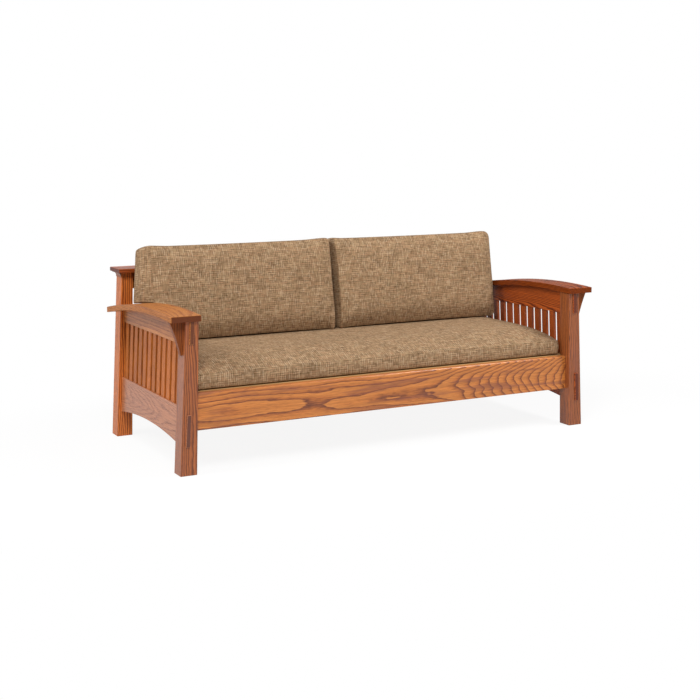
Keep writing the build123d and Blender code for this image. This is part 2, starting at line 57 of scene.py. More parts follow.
# %% [markdown]
# ## The camera
#
# The viewpoint was found by fitting a camera to points measured in the photograph: low, in front of
# the left-hand end, and far away, so that the long settle is only a little foreshortened. Turning it
# by 90 degrees less its elevation, and then about the upright axis by its azimuth, aims it at the
# settle.

# %% Camera at the photograph's viewpoint
camera_azimuth = -28.287
camera_elevation = 9.655
camera_place = (-2.9800, -5.5382, 1.4628)

camera_data = bpy.data.cameras.new("camera")
camera_data.lens = 67.07
camera_data.sensor_width = 36.0
camera = bpy.data.objects.new("camera", camera_data)
camera.location = camera_place
camera.rotation_euler = (math.radians(90 - camera_elevation), 0, math.radians(camera_azimuth))
bpy.context.scene.collection.objects.link(camera)
bpy.context.scene.camera = camera
print("camera at", camera_place, "azimuth", camera_azimuth, "elevation", camera_elevation)

# %% [markdown]
# ## Two small helpers for materials
#
# Colours are picked from things we look at on a screen, so they are written as sRGB hex values. The
# renderer adds light in linear values, so one function converts them. A material is a graph of nodes,
# and one other function adds a node: it sets the node's fields, and each input is either a plain
# value or another node's output, which it links.

# %% Colour and node helpers
def linear(hex_colour):
    """A hex colour in linear light.

    Below 0.04045 a channel is divided by 12.92, above it follows a power of 2.4.
    """
    channels = [int(hex_colour[start:start + 2], 16) / 255 for start in (1, 3, 5)]
    return [c / 12.92 if c <= 0.04045 else ((c + 0.055) / 1.055) ** 2.4 for c in channels] + [1.0]


def add(tree, kind, inputs=(), out=0, ramp=None, **fields):
    """Adds one node and returns one of its outputs. Inputs are values or sockets, by name or in order."""
    node = tree.nodes.new(kind)
    for name, value in fields.items():
        setattr(node, name, value)
    pairs = inputs.items() if isinstance(inputs, dict) else enumerate(inputs)
    for name, value in pairs:
        if isinstance(value, bpy.types.NodeSocket):
            tree.links.new(value, node.inputs[name])
        elif value is not None:
            node.inputs[name].default_value = value
    if ramp:
        stops = node.color_ramp.elements
        for stop, (place, colour) in zip(stops, (ramp[0], ramp[-1])):
            stop.position = place
            stop.color = linear(colour)
        for place, colour in ramp[1:-1]:
            stops.new(place).color = linear(colour)
    return node.outputs[out] if node.outputs else None


def new_material(name):
    """An empty material and its node tree."""
    material = bpy.data.materials.new(name)
    material.use_nodes = True
    material.node_tree.nodes.clear()
    return material, material.node_tree


# %% [markdown]
# ## Oak
#
# Oak is ring porous: each year starts with a band of wide open pores, which drink the stain and dry
# dark red brown, and ends with dense wood that stays golden orange. So the figure on a board isn't a
# picture but a cut through a tree. The rings are cylinders round the pith. A board is a place in
# that tree: its distance from the pith says whether its face shows close straight lines or the
# pointed loops called cathedrals, and the tree's taper spaces those loops out along the board.
#
# The material works that out. It takes a point of the board as along, across and deep, measures its
# distance from a pith line, takes off a taper that sets in part of the way along, bends it with two
# noises that are much longer than wide, and counts rings. Fine pores and streaks are noises many
# times longer than wide. A thin satin lacquer over the stain is a weak clear coat, which turns pale
# where it is seen at a slant.

# %% Sizes of the oak's figure
ring_width = 6 * mm
pore_width = 1.3 * mm        # real pores are 0.3 mm wide: drawn coarser, so that they show
pore_length = 30 * mm
streak_width = 4.5 * mm      # faint stripes that the stain leaves between the pores
streak_length = 260 * mm
wander_length = 420 * mm     # slow bends of the grain
wander_width = 80 * mm
wander = 8 * mm
ripple_length = 85 * mm      # quick bends
ripple_width = 22 * mm
ripple = 1.8 * mm
tone_length = 300 * mm       # patches where the stain lies thick
tone_width = 28 * mm
taper_blend = 120 * mm       # the stretch over which a tree's taper sets in
board_shift = 90 * mm        # how far apart in the tree two boards of one set may be cut
print("rings", ring_width / mm, "mm, pores", pore_width / mm, "by", pore_length / mm, "mm")

# %% Stained oak from the start of a year's ring to its end
oak_golden = [(0.0, "#763f25"), (0.11, "#93522a"), (0.24, "#b86b30"), (0.5, "#c67836"), (0.95, "#cb7e3b"),
              (1.0, "#8d4e28")]
oak_plain = [(0.0, "#9f5c33"), (0.2, "#b26d38"), (0.6, "#bf7a3f"), (0.94, "#bd773c"), (1.0, "#a5613a")]
oak_brown = [(0.0, "#52230f"), (0.3, "#8d4b23"), (0.55, "#a25829"), (0.8, "#a96030"), (1.0, "#804220")]
oak_orange = [(0.0, "#5a240f"), (0.25, "#a35322"), (0.5, "#bf692c"), (0.8, "#cb7534"), (1.0, "#84421f")]
# The red oak serves the cap. On the right-hand frame it is painted shade for the inner side, which is
# turned from the light.
oak_red = [(0.0, "#54200f"), (0.2, "#823716"), (0.5, "#b0531f"), (0.85, "#ba5c25"), (1.0, "#6a2d14")]
oak_slat = [(0.0, "#9a5128"), (0.2, "#ae6029"), (0.6, "#bb6d30"), (0.94, "#b9692c"), (1.0, "#a0562c")]
oak_pinkish = [(0.0, "#965a3c"), (0.2, "#a66846"), (0.6, "#b0704a"), (0.94, "#ad6d48"), (1.0, "#9a5d3e")]
end_grain = "#4e241a"
pore_stain = "#4d2414"
thick_stain = "#7b4434"
pore_levels = (0.52, 0.66)   # the noise values between which a pore opens
tone_levels = (0.54, 0.68)   # and between which the stain thickens
board_shades = (0.86, 1.12)  # the darkest and the lightest board of a set
streak_shades = (0.84, 1.12)
print("end grain in linear light", [round(v, 3) for v in linear(end_grain)[:3]])


# %% A board's place in its tree
def place_in_tree(tree, axes, pith, spacing, first, seed):
    """The point's distance along the grain, its place for noises, and the board's random number.

    The place is (along with a drift, sideways from the pith, inwards from the pith). Boards in a row
    each get their own place in the tree, from a random number for their cell of the row.
    """
    point = add(tree, "ShaderNodeTexCoord", out="Object")
    coordinate = {axis: add(tree, "ShaderNodeSeparateXYZ", [point], out=axis) for axis in "XYZ"}
    if axes[0] != "X":   # the two ends of the settle mirror each other
        coordinate["X"] = add(tree, "ShaderNodeMath", [coordinate["X"]], operation="ABSOLUTE")
    along, across, deep = (coordinate[axis] for axis in axes)
    chance = 0.5
    if spacing:
        cell = add(tree, "ShaderNodeVectorMath", [point, first], operation="SUBTRACT")
        cell = add(tree, "ShaderNodeVectorMath", [cell, spacing], operation="DIVIDE")
        cell = add(tree, "ShaderNodeVectorMath", [cell], operation="FLOOR")
        chance = add(tree, "ShaderNodeTexWhiteNoise", {"Vector": cell, "W": seed}, noise_dimensions="4D")
    shift = [chance, board_shift, -board_shift / 2 - pith[0]]
    shift = add(tree, "ShaderNodeMath", shift, operation="MULTIPLY_ADD")
    sideways = add(tree, "ShaderNodeMath", [across, shift], operation="ADD")
    inwards = add(tree, "ShaderNodeMath", [deep, -pith[1]], operation="ADD")
    drift = add(tree, "ShaderNodeMath", [chance, 3.0, seed], operation="MULTIPLY_ADD")
    drifted = add(tree, "ShaderNodeMath", [along, drift], operation="ADD")
    return along, (drifted, sideways, inwards), chance


def grain_noise(tree, place, length, width, detail):
    """Noise that is that long along the grain and that wide across it, in metres."""
    stretched = [add(tree, "ShaderNodeMath", [value, 1 / size], operation="MULTIPLY")
                 for value, size in zip(place, (length, width, width))]
    grain = add(tree, "ShaderNodeCombineXYZ", stretched)
    return add(tree, "ShaderNodeTexNoise", {"Vector": grain, "Scale": 1.0, "Detail": detail}, out="Fac")


# %% Yearly rings
def ring_season(tree, along, place, rings, bends, taper, taper_start):
    """How far through its year's ring a point lies, from 0 to 1.

    It is the fraction of (distance from the pith + bends - taper) / rings, where the taper is
    taper * blend * ln(1 + exp((along - start) / blend)): none before its start, a straight slope after.
    """
    slow = grain_noise(tree, place, wander_length, wander_width, 1.0)
    quick = grain_noise(tree, place, ripple_length, ripple_width, 2.0)
    across = add(tree, "ShaderNodeCombineXYZ", [0.0, place[1], place[2]])
    radius = add(tree, "ShaderNodeVectorMath", [across], out="Value", operation="LENGTH")
    bent = add(tree, "ShaderNodeMath", [slow, 2 * wander * bends, radius], operation="MULTIPLY_ADD")
    bent = add(tree, "ShaderNodeMath", [quick, 2 * ripple * bends, bent], operation="MULTIPLY_ADD")
    if taper:
        reach = [along, 1 / taper_blend, -taper_start / taper_blend]
        reach = add(tree, "ShaderNodeMath", reach, operation="MULTIPLY_ADD")
        reach = add(tree, "ShaderNodeMath", [reach], operation="EXPONENT")
        reach = add(tree, "ShaderNodeMath", [reach, 1.0], operation="ADD")
        reach = add(tree, "ShaderNodeMath", [reach, math.e], operation="LOGARITHM")
        bent = add(tree, "ShaderNodeMath", [reach, -taper * taper_blend, bent], operation="MULTIPLY_ADD")
    year = add(tree, "ShaderNodeMath", [bent, rings], operation="DIVIDE")
    return add(tree, "ShaderNodeMath", [year], operation="FRACT")


# %% Oak material
def oak(name, axes, pith, colours=oak_plain, rings=ring_width, taper=0.0, taper_start=0.0,
        spacing=None, first=(0, 0, 0), bends=1.0, patches=0.3, end_stain=0.85, gloss=0.8,
        shade=1.0, seed=0.0):
    """Stained, lacquered oak. The axes are those along the grain, across the face and into the board.

    Its colour is the season's, darkened in the pores, where the stain lies thick and on end grain, and
    then made darker or lighter for each board and each streak, and for the whole material by shade,
    which is painted light on the back posts and painted shade on the corbels and the right arm.
    """
    material, tree = new_material(name)
    along, place, chance = place_in_tree(tree, axes, pith, spacing, first, seed)
    season = ring_season(tree, along, place, rings, bends, taper, taper_start)
    tone = grain_noise(tree, place, tone_length, tone_width, 2.0)
    streak = grain_noise(tree, place, streak_length, streak_width, 1.0)
    pores = grain_noise(tree, place, pore_length, pore_width, 0.0)

    # Pores are open widest at the start of a ring
    wood = add(tree, "ShaderNodeValToRGB", [season], ramp=colours)
    open_pore = add(tree, "ShaderNodeMapRange", [pores, *pore_levels, 0.0, 1.0])
    early = add(tree, "ShaderNodeMapRange", [season, 0.05, 0.5, 0.7, 0.25])
    pore_depth = add(tree, "ShaderNodeMath", [open_pore, early], operation="MULTIPLY")
    layers = {"Factor": pore_depth, 6: wood, 7: linear(pore_stain)}
    wood = add(tree, "ShaderNodeMix", layers, out=2, data_type="RGBA")
    thick = add(tree, "ShaderNodeMapRange", [tone, *tone_levels, 0.0, patches])
    layers = {"Factor": thick, 6: wood, 7: linear(thick_stain)}
    wood = add(tree, "ShaderNodeMix", layers, out=2, data_type="RGBA")
    board = add(tree, "ShaderNodeMapRange", [chance, 0.0, 1.0, *(level * shade for level in board_shades)])
    value = add(tree, "ShaderNodeMapRange", [streak, 0.3, 0.7, *streak_shades])
    value = add(tree, "ShaderNodeMath", [board, value], operation="MULTIPLY")
    wood = add(tree, "ShaderNodeHueSaturation", {"Color": wood, "Value": value})

    # End grain drinks most stain, so faces that look along the grain are dark
    facing = add(tree, "ShaderNodeTexCoord", out="Normal")
    end = add(tree, "ShaderNodeSeparateXYZ", [facing], out=axes[0])
    end = add(tree, "ShaderNodeMath", [end], operation="ABSOLUTE")
    end = add(tree, "ShaderNodeMapRange", [end, 0.75, 0.95, 0.0, end_stain])
    layers = {"Factor": end, 6: wood, 7: linear(end_grain)}
    wood = add(tree, "ShaderNodeMix", layers, out=2, data_type="RGBA")

    relief = add(tree, "ShaderNodeMath", [pore_depth, -1.0], operation="MULTIPLY")
    bump = add(tree, "ShaderNodeBump", {"Strength": 0.35, "Distance": 0.3 * mm, "Height": relief})
    satin = add(tree, "ShaderNodeMapRange", [pore_depth, 0.0, 1.0, 0.40, 0.62])
    surface = add(tree, "ShaderNodeBsdfPrincipled", {
        "Base Color": wood, "Roughness": satin, "IOR": 1.5, "Specular IOR Level": 0.22 * gloss,
        "Normal": bump, "Coat Weight": 0.2 * gloss, "Coat Roughness": 0.16, "Coat IOR": 1.5})
    add(tree, "ShaderNodeOutputMaterial", [surface])
    return material


# %% [markdown]
# ## Which board is cut where
#
# The apron is the show board. Its pith runs a little below the middle of its face and a good way
# behind it. The tree starts to taper right of the middle, so long lines on the left close up into
# nested loops on the right, with their tips to the left. Posts are cut askew to the rings, so that
# all their faces show upright lines. The side rails and the arms run front to back. Each board of a
# set, such as the slats, takes its own place in the tree. Arms are dull, from wear. The right-hand
# frame gets a redder, darker oak than the left one, and its arm a lower shade. This is painted shade:
# we see that frame's inner side, and it is turned from the light. The front posts are browner.
# The back posts are more orange and brighter, as painted light, because they stand in the shade of
# the arms and cushions. The corbels under the arms are darker, as painted shade.

# %% Where the boards lie
apron_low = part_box("front_apron")[0]
post_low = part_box("post_front_right")[0]
rear_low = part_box("post_back_right")[0]
arm_low, arm_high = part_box("arm_right")
rail_low, rail_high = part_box("side_rail_lower_right")
cap_low, cap_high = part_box("back_cap")
slat_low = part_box("side_slat_right_1")[0]
slat_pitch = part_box("side_slat_right_2")[0].y - slat_low.y
back_slat_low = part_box("back_slat_1")[0]
back_slat_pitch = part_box("back_slat_2")[0].x - back_slat_low.x
print("side slats every", round(slat_pitch / mm, 1), "mm")
print("back slats every", round(back_slat_pitch / mm, 1), "mm")

# %% Where each board's pith runs
flat_sawn = 240 * mm          # from a flat sawn board's face to its pith
askew = 300 * mm              # the same for a post, both ways
apron_pith_height = 60 * mm   # above the apron's lower edge
far = 10.0                    # a spacing that holds all boards
two_sides = {"spacing": (2.0, far, far), "first": (-2.0, -1.0, -1.0)}
slat_row = {"spacing": (2.0, slat_pitch, far), "first": (-2.0, slat_low.y - 2 * slat_pitch, -1.0)}
back_slat_row = {"spacing": (back_slat_pitch, far, far), "first": (back_slat_low.x, -1.0, -1.0)}
apron_pith = (apron_low.z + apron_pith_height, apron_low.y + flat_sawn)
post_pith = (post_low.x - askew, post_low.y - askew)
rear_pith = (rear_low.x - askew, rear_low.y - askew)
slat_pith = (slat_low.y - askew, slat_low.x - askew)
lower_rail_pith = ((rail_low.z + rail_high.z) / 2, rail_low.x - flat_sawn / 2)
upper_rail_pith = (rail_high.z + flat_sawn, rail_low.x - flat_sawn / 2)
left_arm_pith = (arm_low.x, arm_low.z - flat_sawn)
right_arm_pith = (arm_high.x, arm_low.z - flat_sawn)
cap_pith = (cap_high.y, cap_low.z - flat_sawn)
cove_pith = (rear_low.x, cap_low.z - flat_sawn)
back_slat_pith = (0.0, back_slat_low.y - flat_sawn)
bottom_rail_pith = (0.20, rear_low.y - flat_sawn)
top_rail_pith = (0.70, rear_low.y - flat_sawn)
print("the apron's pith lies", round(apron_pith[0], 3), "m high and", round(apron_pith[1], 3), "m back")

# %% Give the boards their oak
oak_for = {
    "front_apron": oak("oak_apron", "XZY", apron_pith, oak_golden, taper=0.14, taper_start=0.36,
                       patches=0.6, gloss=1.4, shade=0.94, seed=0.4),
    "post_front": oak("oak_front_posts", "ZXY", post_pith, oak_brown, rings=9 * mm, bends=2.6,
                      patches=0.45, gloss=1.45, seed=1.7, **two_sides),
    # Painted light: the back posts get a more orange oak and a fifth more brightness, against the shade of
    # the arms and cushions.
    "post_back": oak("oak_back_posts_painted_light", "ZXY", rear_pith, oak_orange, rings=9 * mm, bends=2.2,
                     shade=1.2, seed=5.2, **two_sides),
    "arm_left": oak("oak_left_arm", "YXZ", left_arm_pith, oak_plain, gloss=0.25, shade=0.85, seed=4.1),
    # Painted shade: the right arm gets the darker red oak and a lower shade, because its inner side is
    # turned from the light.
    "arm_right": oak("oak_right_arm_painted_shade", "YXZ", right_arm_pith, oak_red, gloss=0.06, end_stain=0.3,
                     shade=0.62, seed=7.7),
    "side_rail_upper_left": oak("oak_left_upper_rail", "YZX", upper_rail_pith, oak_plain, bends=0.5,
                                seed=8.3),
    "side_rail_lower_left": oak("oak_left_lower_rail", "YZX", lower_rail_pith, oak_pinkish,
                                rings=4 * mm, taper=0.05, taper_start=-0.2, patches=0.15, gloss=1.4,
                                seed=3.3),
    # Painted shade: the right-hand rails get the darker red oak, for the shade on their inner side.
    "side_rail_upper_right": oak("oak_right_upper_rail_painted_shade", "YZX", upper_rail_pith, oak_red,
                                 rings=4.5 * mm, taper=0.03, taper_start=-0.4, bends=1.3, seed=2.6),
    "side_rail_lower_right": oak("oak_right_lower_rail_painted_shade", "YZX", lower_rail_pith, oak_red, seed=9.1),
    "side_slat_left": oak("oak_left_slats", "ZYX", slat_pith, oak_slat, gloss=0.35, seed=2.9, **slat_row),
    # Painted shade: the right-hand slats get the darker red oak, for the shade on their inner side.
    "side_slat_right": oak("oak_right_slats_painted_shade", "ZYX", slat_pith, oak_red, seed=6.4, **slat_row),
    "back_slat": oak("oak_back_slats", "ZXY", back_slat_pith, oak_plain, seed=6.2, **back_slat_row),
    "back_bottom_rail": oak("oak_back_bottom_rail", "XZY", bottom_rail_pith, oak_golden, taper=0.04,
                            seed=9.9),
    "back_top_rail": oak("oak_back_top_rail", "XZY", top_rail_pith, oak_golden, seed=0.7),
    "back_cap": oak("oak_cap", "XYZ", cap_pith, oak_red, gloss=0.45, shade=0.8, seed=12.4),
    "cap_cove": oak("oak_coves", "YXZ", cove_pith, oak_brown, seed=1.1),
    # Painted shade: the corbels are darker, for the shadow of the arms above them.
    "corbel": oak("oak_corbels_painted_shade", "ZXY", post_pith, oak_brown, gloss=0.35, shade=0.88, seed=3.9,
                  **two_sides)}


def finish_node(node, material):
    """Puts one material on a construction node."""
    mesh = frame["nodes"][node].data
    mesh.materials.clear()
    mesh.materials.append(material)


oak_nodes = [(node, start) for node in frame["nodes"] for start in oak_for if node.startswith(start)]
for node, start in oak_nodes:
    finish_node(node, oak_for[start])
print(len(oak_for), "kinds of oak on", len(oak_nodes), "pieces")

# %% [markdown]
# ## Wood and steel that nobody sees
#
# Under the cushions a plywood deck lies on two screwed cleats and a bearer. They aren't stained:
# plain pale wood with a faint grain, and zinc plated screws with a slightly milky shine.

# %% Deck, cleats and screws
fibres_across = 600.0         # noise cells in a metre: each is 1.7 mm wide
fibres_along = 12.0           # and 83 mm long
polish_spots = 900.0          # in a metre: 1.1 mm each


def plain_wood(name, axis):
    """Unstained wood: a pale base with a noise as grain, long along the axis."""
    material, tree = new_material(name)
    point = add(tree, "ShaderNodeTexCoord", out="Object")
    scale = [fibres_along if letter == axis else fibres_across for letter in "XYZ"]
    grain = add(tree, "ShaderNodeMapping", {"Vector": point, "Scale": scale})
    noise = add(tree, "ShaderNodeTexNoise", {"Vector": grain, "Scale": 1.0, "Detail": 3.0}, out="Fac")
    colour = add(tree, "ShaderNodeValToRGB", [noise], ramp=[(0.3, "#a9814f"), (0.7, "#c9a06c")])
    surface = add(tree, "ShaderNodeBsdfPrincipled", {"Base Color": colour, "Roughness": 0.7, "IOR": 1.5})
    add(tree, "ShaderNodeOutputMaterial", [surface])
    return material


def zinc_plate():
    """Zinc plated steel: a pale metal whose polish varies in small spots."""
    material, tree = new_material("zinc_plated_steel")
    point = add(tree, "ShaderNodeTexCoord", out="Object")
    spots = {"Vector": point, "Scale": polish_spots, "Detail": 2.0}
    spots = add(tree, "ShaderNodeTexNoise", spots, out="Fac")
    rough = add(tree, "ShaderNodeMapRange", [spots, 0.3, 0.7, 0.25, 0.45])
    surface = add(tree, "ShaderNodeBsdfPrincipled",
                  {"Base Color": linear("#c3c2bb"), "Metallic": 1.0, "Roughness": rough})
    add(tree, "ShaderNodeOutputMaterial", [surface])
    return material


deck_wood = plain_wood("unstained_panel", "X")
bearer_wood = plain_wood("unstained_softwood", "Y")
for node, material in (("seat_deck", deck_wood), ("front_cleat", deck_wood), ("rear_cleat", deck_wood),
                       ("seat_bearer", bearer_wood), ("cleat_screws", zinc_plate())):
    finish_node(node, material)
    print(node, "in", material.name)

# %% [markdown]
# ## Tweed
#
# The covers are a rough woollen tweed: thick uneven yarns in a plain weave, where the upright warp
# is mostly light tan and the level weft is darker, with olive, grey and rust among it. Two things
# give the eye its texture: every yarn has its own colour, and along each yarn the shade comes and
# goes in short slubs. From some metres away the crossings of warp and weft blend, so the colour is a
# mix of both families, upright and level strokes over each other, and only the relief tells which
# yarn lies on top. The weave follows the cloth through its own map in metres, so it turns over the
# cushions' edges as woven cloth does. Real yarns lie about 1.5 mm apart. They are drawn 4.9 mm apart
# here, because finer ones vanish at this distance.

# %% Sizes and colours of the tweed
yarn = 4.9 * mm
warp_slub = 18 * mm           # a run of one shade along an upright yarn
weft_slub = 30 * mm
handled_patches = 9.0         # in a metre: broad soft patches that come from handling
warp_colours = [(0.0, "#785f45"), (0.25, "#967758"), (0.5, "#a68866"), (0.8, "#b89a77"), (1.0, "#ccb291")]
weft_colours = [(0.0, "#4a3624"), (0.25, "#6b503a"), (0.45, "#7e6249"), (0.62, "#8c7556"), (0.8, "#976e50"),
                (1.0, "#ab8d6d")]
weft_share = 0.55             # of the colour
crisp_share = 0.7             # of a tint that jumps from run to run, where the rest of it glides
pair_share = 0.25             # of a tint that changes from each yarn to the next
print("yarns", yarn / mm, "mm apart, slubs", warp_slub / mm, "and", weft_slub / mm, "mm long")


# %% One family of yarns
def yarns(tree, side, other, slub, colours):
    """Shade, height and number of the yarns that are counted along side and run along other.

    A yarn's height is half a sine wave across it. Its tint mixes a smooth noise, a random number for
    each run, and a step from one yarn to the next.
    """
    place = add(tree, "ShaderNodeMath", [side, 1 / yarn], operation="MULTIPLY")
    number = add(tree, "ShaderNodeMath", [place], operation="FLOOR")
    inside = add(tree, "ShaderNodeMath", [place], operation="FRACT")
    chance = add(tree, "ShaderNodeTexWhiteNoise", {"W": number}, noise_dimensions="1D")

    # Slubs: a run of yarn is one shade, and each yarn starts its runs at its own place
    start = add(tree, "ShaderNodeMath", [chance, 9.0], operation="MULTIPLY")
    run = add(tree, "ShaderNodeMath", [other, 1 / slub, start], operation="MULTIPLY_ADD")
    strip = add(tree, "ShaderNodeCombineXYZ", [number, run, 0.0])
    apart = add(tree, "ShaderNodeVectorMath", [strip, (7.31, 1.0, 1.0)], operation="MULTIPLY")
    soft = add(tree, "ShaderNodeTexNoise", {"Vector": apart, "Scale": 1.0, "Detail": 1.0}, out="Fac")
    soft = add(tree, "ShaderNodeMapRange", [soft, 0.32, 0.68, 0.0, 1.0])
    cell = add(tree, "ShaderNodeVectorMath", [strip], operation="FLOOR")
    crisp = add(tree, "ShaderNodeTexWhiteNoise", {"Vector": cell}, noise_dimensions="3D")
    tint = add(tree, "ShaderNodeMix", [crisp_share, None, soft, crisp], data_type="FLOAT")
    pair = add(tree, "ShaderNodeMath", [number, 2.0], operation="FLOORED_MODULO")
    tint = add(tree, "ShaderNodeMix", [pair_share, None, tint, pair], data_type="FLOAT")
    tint = add(tree, "ShaderNodeMapRange", [tint, 0.15, 0.85, 0.0, 1.0])
    shade = add(tree, "ShaderNodeValToRGB", [tint], ramp=colours)

    round_yarn = add(tree, "ShaderNodeMath", [inside, math.pi], operation="MULTIPLY")
    round_yarn = add(tree, "ShaderNodeMath", [round_yarn], operation="SINE")
    thick = add(tree, "ShaderNodeMapRange", [soft, 0.0, 1.0, 0.6, 1.0])
    height = add(tree, "ShaderNodeMath", [round_yarn, thick], operation="MULTIPLY")
    return shade, height, number


# %% Tweed material
def tweed():
    """Both families of yarns on the cloth's map; a chequer of yarn numbers says which one stands up."""
    material, tree = new_material("woven_tweed")
    cloth = add(tree, "ShaderNodeUVMap", uv_map="cloth")
    across = add(tree, "ShaderNodeSeparateXYZ", [cloth], out="X")
    upward = add(tree, "ShaderNodeSeparateXYZ", [cloth], out="Y")
    warp_shade, warp_height, warp_number = yarns(tree, across, upward, warp_slub, warp_colours)
    weft_shade, weft_height, weft_number = yarns(tree, upward, across, weft_slub, weft_colours)
    blend = {"Factor": weft_share, 6: warp_shade, 7: weft_shade}
    colour = add(tree, "ShaderNodeMix", blend, out=2, data_type="RGBA")
    chequer = add(tree, "ShaderNodeMath", [warp_number, weft_number], operation="ADD")
    chequer = add(tree, "ShaderNodeMath", [chequer, 2.0], operation="FLOORED_MODULO")
    height = add(tree, "ShaderNodeMix", [chequer, None, warp_height, weft_height], data_type="FLOAT")

    # Painted shade: the gaps between yarns are a little darker. The patches from handling are a little
    # darker too.
    painted_gap_shade = add(tree, "ShaderNodeMapRange", [height, 0.0, 0.5, 0.88, 1.0])
    patch = {"Vector": cloth, "Scale": handled_patches, "Detail": 2.0}
    patch = add(tree, "ShaderNodeTexNoise", patch, out="Fac")
    patch = add(tree, "ShaderNodeMapRange", [patch, 0.3, 0.7, 0.93, 1.05])
    value = add(tree, "ShaderNodeMath", [painted_gap_shade, patch], operation="MULTIPLY")
    colour = add(tree, "ShaderNodeHueSaturation", {"Color": colour, "Value": value})
    bump = add(tree, "ShaderNodeBump", {"Strength": 0.7, "Distance": 0.7 * mm, "Height": height})
    surface = add(tree, "ShaderNodeBsdfPrincipled", {
        "Base Color": colour, "Roughness": 0.95, "IOR": 1.45, "Specular IOR Level": 0.2, "Normal": bump,
        "Sheen Weight": 0.06, "Sheen Roughness": 0.5, "Sheen Tint": linear("#d8c4a4")})
    add(tree, "ShaderNodeOutputMaterial", [surface])
    return material


tweed_cloth = tweed()
print(tweed_cloth.name, "has", len(tweed_cloth.node_tree.nodes), "nodes")

# %% [markdown]
# ## The shape of a boxed cushion
#
# A boxed cushion is two panels sewn to a band. Stuffing lifts the panels into a crown and pulls
# the corners down, so the seam is lowest at the corners. The surface is worked out as two grids:
# the panel, a rectangle whose corners are turned into quarter circles, and the band that joins the
# two panels all round. Rows stand closer together beside the seam, so the fold there stays crisp.

# %% Rows and corners of the grid
seam_rows = np.array([0.0, 3.5, 9.0]) * mm     # how far from a seam its close rows lie
edge_zone = 20 * mm
row_spacing = 12.5 * mm
band_bulge = 5 * mm


def rows(length):
    """Places from -length/2 to length/2, evenly spaced, with closer rows beside both ends."""
    inner = length / 2 - edge_zone
    count = max(4, int(2 * inner / row_spacing))
    middle = np.linspace(-inner, inner, count)
    ends = length / 2 - seam_rows
    return np.concatenate([-ends, middle, ends[::-1]])


def round_corners(x, y, width, height, radius):
    """Turns the square at each corner of a rectangle into a quarter disc.

    The radius is a number or an array. What a coordinate reaches into that square is scaled by the
    root of one less half the square of what the other one reaches, as a share of the radius.
    """
    over_x = np.clip(np.abs(x) - (width / 2 - radius), 0, radius)
    over_y = np.clip(np.abs(y) - (height / 2 - radius), 0, radius)
    disc_x = over_x * np.sqrt(1 - (over_y / radius) ** 2 / 2)
    disc_y = over_y * np.sqrt(1 - (over_x / radius) ** 2 / 2)
    return x - np.sign(x) * (over_x - disc_x), y - np.sign(y) * (over_y - disc_y)


print("a 1 m edge has", len(rows(1.0)), "rows")


# %% The band between the two seams
def band_between(upper, lower):
    """Rings of points between two seams, and how far down each row lies, both seams included.

    A point is the mix of the seam points above and below it, by the share of the way down. It is
    moved outwards by the bulge times four times that share times one less that share.
    """
    tall = np.median(upper[:, 2] - lower[:, 2])
    far_row, near_row = seam_rows[2] / tall, seam_rows[1] / tall
    count = int(max(3, round((tall - 2 * seam_rows[2]) / row_spacing)))
    inner = np.linspace(far_row, 1 - far_row, count)
    shares = np.concatenate([[near_row], inner, [1 - near_row]])
    along = np.roll(upper, -1, 0)[:, :2] - np.roll(upper, 1, 0)[:, :2]
    outward = np.stack([along[:, 1], -along[:, 0]], -1)
    outward /= np.linalg.norm(outward, axis=1, keepdims=True)
    band = upper[None] * (1 - shares[:, None, None]) + lower[None] * shares[:, None, None]
    bulge = (4 * shares * (1 - shares)) * band_bulge
    band[:, :, :2] += outward[None] * bulge[:, None, None]
    return band, np.concatenate([[0], shares, [1]]) * tall


def cell_corners(grid):
    """The values at the four corners of each cell of a grid, anticlockwise, one row for each cell."""
    return np.stack([grid[:-1, :-1], grid[:-1, 1:], grid[1:, 1:], grid[1:, :-1]], -1).reshape(-1, 4)


